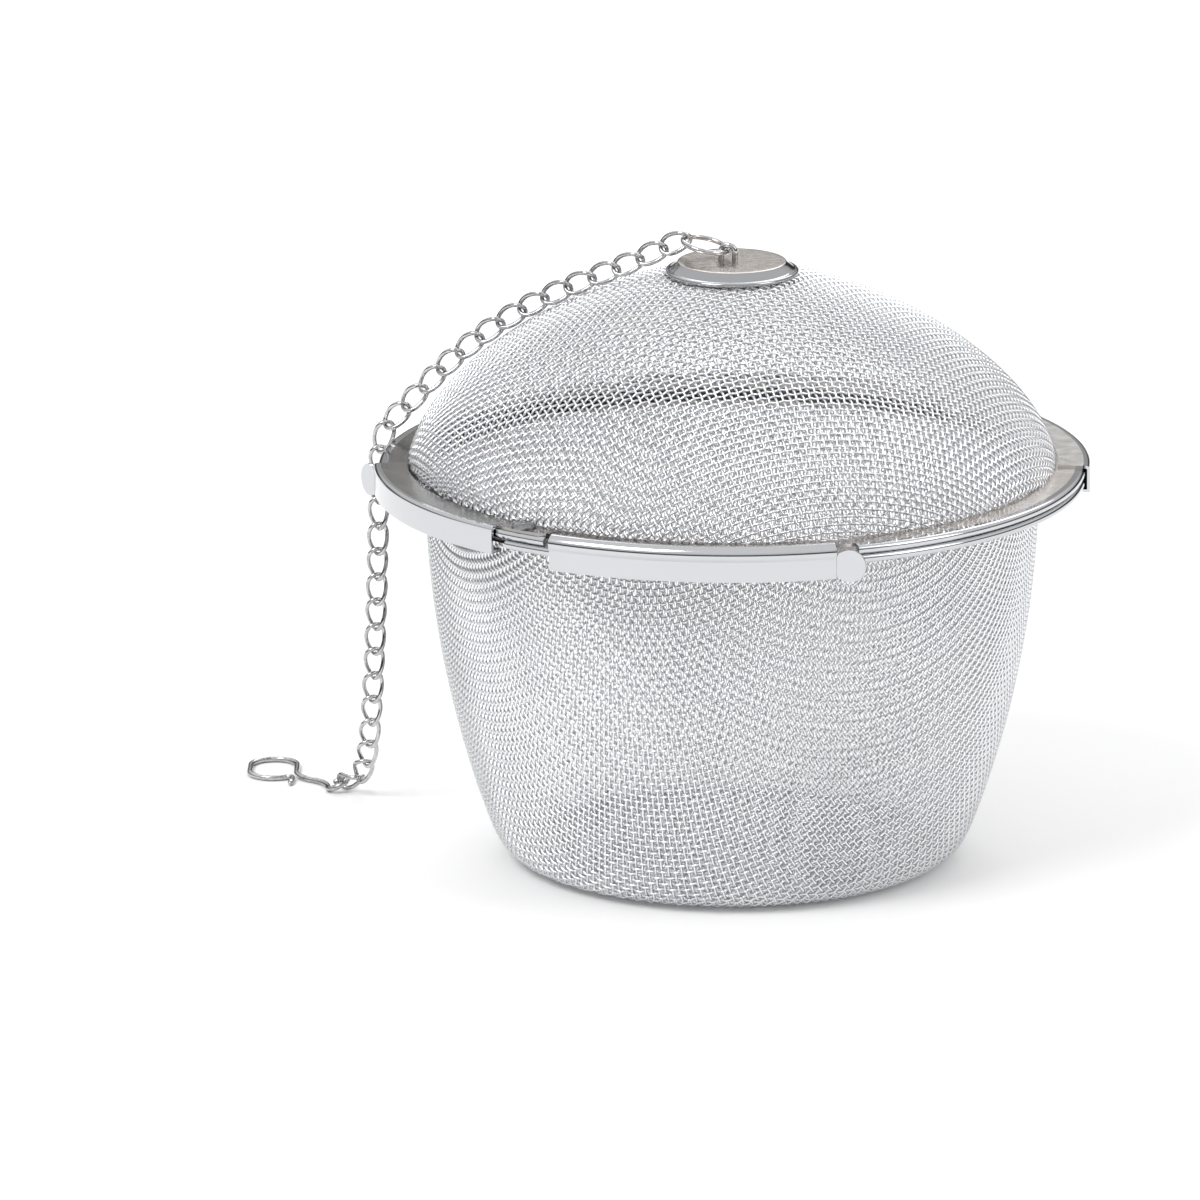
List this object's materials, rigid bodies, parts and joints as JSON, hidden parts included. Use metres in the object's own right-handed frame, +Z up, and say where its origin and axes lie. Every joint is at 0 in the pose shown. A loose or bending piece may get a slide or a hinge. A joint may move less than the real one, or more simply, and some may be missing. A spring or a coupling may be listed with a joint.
{
  "type": "tea infuser",
  "caption": "Twist-lock tea infuser: a woven wire cup and a domed woven lid with clipped rims, hung from a curb chain with a wire hook.",
  "frame": {"origin": "centre of the cup's flat bottom, on the table", "axes": "+Z up along the cup's axis, -Y towards the front clips, +X to the right"},
  "size_m": [0.1335, 0.1114, 0.0993],
  "materials": {
    "mesh": "satin",
    "rim_steel": "satin",
    "clip_steel": "satin",
    "cap_steel": "satin",
    "wire": "polished"
  },
  "bodies": {
    "basket": {"basket_mesh": "mesh", "basket_rim": "rim_steel", "basket_clip": "clip_steel", "basket_clip_back": "clip_steel"},
    "lid_carrier": {"inner_washer": "cap_steel"},
    "lid": {"lid_mesh": "mesh", "lid_rim": "rim_steel", "lid_clip": "clip_steel", "lid_clip_back": "clip_steel", "lid_rivet": "clip_steel", "lid_rivet_back": "clip_steel", "top_cap": "cap_steel", "staple": "wire"},
    "ring": {"jump_ring": "wire"},
    "chain_a": {"chain_link_01": "wire", "chain_link_02": "wire", "chain_link_03": "wire", "chain_link_04": "wire", "chain_link_05": "wire"},
    "chain_b": {"chain_link_06": "wire", "chain_link_07": "wire", "chain_link_08": "wire", "chain_link_09": "wire", "chain_link_10": "wire"},
    "chain_c": {"chain_link_11": "wire", "chain_link_12": "wire", "chain_link_13": "wire", "chain_link_14": "wire", "chain_link_15": "wire"},
    "chain_d": {"chain_link_16": "wire", "chain_link_17": "wire", "chain_link_18": "wire", "chain_link_19": "wire", "chain_link_20": "wire", "chain_link_21": "wire", "chain_link_22": "wire"},
    "chain_e": {"chain_link_23": "wire", "chain_link_24": "wire", "chain_link_25": "wire", "chain_link_26": "wire", "chain_link_27": "wire", "chain_link_28": "wire"},
    "chain_foot": {"chain_link_29": "wire", "chain_link_30": "wire"},
    "hook_body": {"hook": "wire"}
  },
  "joints": [
    {"name": "lid_lift", "type": "slide", "parent": "basket", "child": "lid_carrier", "axis": [0, 0, 1], "range_m": [0, 0.09]},
    {"name": "lid_twist", "type": "hinge", "parent": "lid_carrier", "child": "lid", "pos_m": [0, 0, 0.0923], "axis": [0, 0, 1], "range_deg": [-50, 0]},
    {"name": "ring_swing", "type": "hinge", "parent": "lid", "child": "ring", "pos_m": [-0.00062, 0.00019, 0.09635], "axis": [0.2924, 0.9563, 0], "range_deg": [0, 25]},
    {"name": "chain_top", "type": "hinge", "parent": "ring", "child": "chain_a", "pos_m": [-0.00698, 0.00213, 0.0982], "axis": [0.2924, 0.9563, 0], "range_deg": [0, 8]},
    {"name": "chain_upper", "type": "hinge", "parent": "chain_a", "child": "chain_b", "pos_m": [-0.02552, 0.0078, 0.08891], "axis": [0.2924, 0.9563, 0], "range_deg": [0, 15]},
    {"name": "chain_shoulder", "type": "hinge", "parent": "chain_b", "child": "chain_c", "pos_m": [-0.04262, 0.01303, 0.07712], "axis": [0.2924, 0.9563, 0], "range_deg": [0, 20]},
    {"name": "chain_rim", "type": "hinge", "parent": "chain_c", "child": "chain_d", "pos_m": [-0.05527, 0.0169, 0.06061], "axis": [0.2924, 0.9563, 0], "range_deg": [0, 20]},
    {"name": "chain_hang", "type": "hinge", "parent": "chain_d", "child": "chain_e", "pos_m": [-0.05623, 0.02051, 0.03075], "axis": [0.2924, 0.9563, 0], "range_deg": [0, 15]},
    {"name": "chain_end", "type": "hinge", "parent": "chain_e", "child": "chain_foot", "pos_m": [-0.05823, 0.02795, 0.00629], "axis": [0, 0, 1], "range_deg": [-8, 20]},
    {"name": "hook_turn", "type": "hinge", "parent": "chain_foot", "child": "hook_body", "pos_m": [-0.06226, 0.03338, 0.00149], "axis": [0, 0, 1], "range_deg": [-30, 30]}
  ]
}
